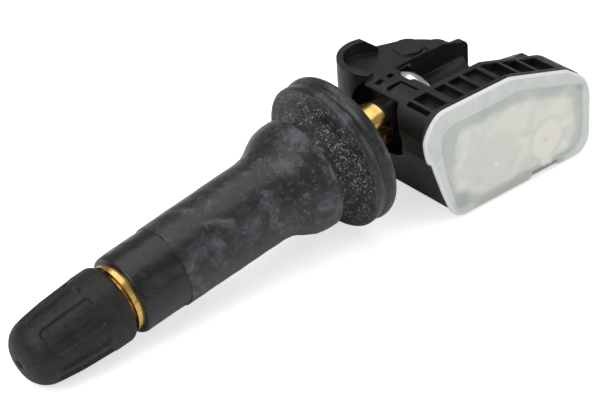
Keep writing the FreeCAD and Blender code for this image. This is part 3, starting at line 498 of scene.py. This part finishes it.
# what shows through, from the back forwards, with painted shade at the field's lower left and top right
# corners and a painted glint among them: place, radius, softness, tint and strength
for place, radius, soft, tint, amount in (
        # these first two spots are painted shade in the sunken field's lower left and top right corners
        ((11.0, 2.3), 1.3, 1.0, (0.36, 0.44, 0.46), 0.55), ((32.0, 9.0), 0.5, 0.6, (0.40, 0.47, 0.48), 0.6),
        ((16.9, 5.2), 3.9, 1.2, (0.72, 0.76, 0.70), 0.5), ((16.9, 5.0), 2.6, 0.6, (0.84, 0.86, 0.79), 0.6),
        ((26.6, 6.8), 2.4, 1.4, (0.95, 0.94, 0.82), 0.8), (DISC, 3.2, 0.5, (0.72, 0.75, 0.66), 0.5),
        (DISC, 2.6, 0.4, (0.98, 0.96, 0.84), 0.95),
        ((25.5, 1.2), 0.75, 0.3, (0.98, 0.97, 0.88), 0.95), ((26.4, 0.8), 0.5, 0.25, (0.95, 0.95, 0.86), 0.9),
        ((28.9, 1.9), 0.7, 0.3, (0.96, 0.96, 0.90), 0.9), ((29.6, 1.3), 0.35, 0.2, (0.97, 0.97, 0.92), 0.9),
        ((29.0, 4.9), 0.5, 0.35, (0.96, 0.96, 0.90), 0.85), ((25.6, 4.2), 0.4, 0.35, (0.74, 0.74, 0.66), 0.6),
        # painted highlight: the near-white glint at DISC_GLINT
        (DISC_GLINT, 0.32, 0.25, (1.0, 1.0, 0.97), 0.95), ((11.3, 11.1), 0.6, 0.35, (0.88, 0.90, 0.84), 0.7),
        ((12.3, 10.4), 0.6, 0.35, (0.90, 0.92, 0.86), 0.7)):
    colour = look.mix(look.times(look.near(x, z, place, radius, soft), amount), colour, tint)
colour = look.mix(look.remap(edge_gap, 0.36, 0.20), colour, (0.93, 0.95, 0.93))
look.set("Base Color", colour)
look.set("Roughness", look.remap(look.noise(spot, 0.9, 5.0), 0.3, 0.7, 0.30, 0.44))
look.set("Normal", look.bump(look.noise(spot, 1.2, 5.0, 0.6), 0.18, 0.05))
cover.data.materials.append(look.material)
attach(cover, "sensor")
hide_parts("housing_cover")

# ------------------------------------------------------------------------------------------------
# Inner pieces: seals, electronics, cell and potting, each in its own material.
def plain_look(name, first, second, roughness, metallic=0.0, scale=1.5):
    made = Shader(name, Metallic=metallic)
    here = made.place(HOUSING_TILT)
    made.set("Base Color", made.mix(made.remap(made.noise(here, scale, 5.0), 0.35, 0.7), first, second))
    made.set("Roughness", made.remap(made.noise(here, scale * 2, 4.0), 0.3, 0.7, roughness, roughness + 0.15))
    made.set("Normal", made.bump(made.noise(here, scale * 5, 5.0, 0.65), 0.3, 0.02))
    return made.material


SEALS = ["cap_seal", "core_cup_seal", "port_gasket"]
STRIPS = ["battery_tab_top", "battery_tab_bottom", "rf_antenna"]
for name, nodes, first, second, roughness, metallic in (
        ("black_seal", SEALS, (0.02, 0.02, 0.02), (0.04, 0.04, 0.04), 0.55, 0.0),
        ("red_seal", ["core_gasket"], (0.36, 0.06, 0.04), (0.48, 0.10, 0.07), 0.5, 0.0),
        ("potting", ["potting_gel"], (0.70, 0.72, 0.66), (0.82, 0.83, 0.76), 0.35, 0.0),
        ("laminate", ["circuit_board"], (0.03, 0.16, 0.07), (0.05, 0.24, 0.10), 0.4, 0.0),
        ("cell_can", ["battery", "crystal"], (0.66, 0.66, 0.65), (0.80, 0.80, 0.78), 0.25, 1.0),
        ("nickel_strip", STRIPS, (0.70, 0.68, 0.62), (0.82, 0.80, 0.75), 0.3, 1.0),
        ("ferrite", ["lf_coil_core"], (0.03, 0.03, 0.035), (0.07, 0.07, 0.075), 0.5, 0.0),
        ("copper_wire", ["lf_coil_winding"], (0.62, 0.27, 0.12), (0.75, 0.38, 0.20), 0.3, 1.0),
        ("chip_package", ["sensor_chip"], (0.015, 0.015, 0.017), (0.03, 0.03, 0.032), 0.45, 0.0),
        ("membrane", ["port_filter"], (0.80, 0.80, 0.78), (0.90, 0.90, 0.88), 0.8, 0.0),
        ("chip_ceramic", ["passives"], (0.45, 0.36, 0.27), (0.60, 0.50, 0.40), 0.4, 0.0)):
    dress(nodes, plain_look(name, first, second, roughness, metallic))

# ------------------------------------------------------------------------------------------------
# Floor, lights and camera: a white floor under broad soft light, and a long lens from above the cap.
# The floor and the world are lifted to white for the camera's own rays only.
FLOOR_HALF, FLOOR_DROP, FLOOR_LIFT = 3.0, -0.0002, 0.62
floor = bpy.data.meshes.new("floor")
floor.from_pydata([(x * FLOOR_HALF, y * FLOOR_HALF, FLOOR_DROP)
                   for x, y in ((-1, -1), (1, -1), (1, 1), (-1, 1))], [], [(0, 1, 2, 3)])
floor = bpy.data.objects.new("floor", floor)
bpy.context.scene.collection.objects.link(floor)
look = Shader("floor_paper", Roughness=0.9, Specular_IOR_Level=0.1)
paper = look.noise(look.place(0.0), 0.02, 2.0)
look.set("Base Color", look.mix(paper, (0.93, 0.93, 0.93), (0.95, 0.95, 0.95)))
seen = look.node("LightPath", output=0)
look.set("Emission Color", (1.0, 1.0, 1.0))
look.set("Emission Strength", look.times(seen, FLOOR_LIFT))
floor.data.materials.append(look.material)


def soft_light(name, position, size, power, target=(0.01, 0.0, 0.01)):
    lamp = bpy.data.lights.new(name, "AREA")
    lamp.shape, lamp.size, lamp.size_y, lamp.energy = "RECTANGLE", size[0], size[1], power
    lamp_object = bpy.data.objects.new(name, lamp)
    lamp_object.location = position
    aim = Vector(target) - Vector(position)
    lamp_object.rotation_euler = aim.to_track_quat("-Z", "Y").to_euler()
    bpy.context.scene.collection.objects.link(lamp_object)


soft_light("overhead", (0.0, 0.10, 0.55), (0.7, 0.6), 1.7)
soft_light("key_left", (-0.45, -0.10, 0.42), (0.35, 0.35), 1.3)
soft_light("fill_right", (0.40, -0.45, 0.22), (0.4, 0.3), 0.6)

WORLD_LIGHT = 0.32
world = bpy.data.worlds.new("studio")
bpy.context.scene.world = world
world.use_nodes = True
world.node_tree.nodes["Background"].inputs["Color"].default_value = (1.0, 1.0, 1.0, 1.0)
backdrop = world.node_tree.nodes["Background"].inputs["Strength"]
path = world.node_tree.nodes.new("ShaderNodeLightPath")
level = world.node_tree.nodes.new("ShaderNodeMapRange")
level.inputs["To Min"].default_value = WORLD_LIGHT
level.inputs["To Max"].default_value = 1.0
world.node_tree.links.new(path.outputs["Is Camera Ray"], level.inputs["Value"])
world.node_tree.links.new(level.outputs[0], backdrop)

EYE = (-142.36, -165.61, 143.88)
EYE_RIGHT, EYE_DOWN = (0.746, -0.663, -0.059), (-0.418, -0.396, -0.818)
lens = bpy.data.cameras.new("camera")
lens.lens, lens.sensor_width = 131.6, 36.0
lens.clip_start, lens.clip_end = 0.01, 20.0
camera = bpy.data.objects.new("camera", lens)
bpy.context.scene.collection.objects.link(camera)
bpy.context.scene.camera = camera
turn = Matrix.Rotation(-HOUSING_TILT, 3, "Y")
right = (turn @ Vector(EYE_RIGHT)).normalized()
up = turn @ (-Vector(EYE_DOWN))
up = (up - right * up.dot(right)).normalized()
away = right.cross(up)
place = (turn @ Vector(EYE) + FLANGE) * MM
camera.matrix_world = Matrix((
    (right.x, up.x, away.x, place.x), (right.y, up.y, away.y, place.y),
    (right.z, up.z, away.z, place.z), (0, 0, 0, 1)))

scene = bpy.context.scene
scene.view_settings.view_transform = "Standard"
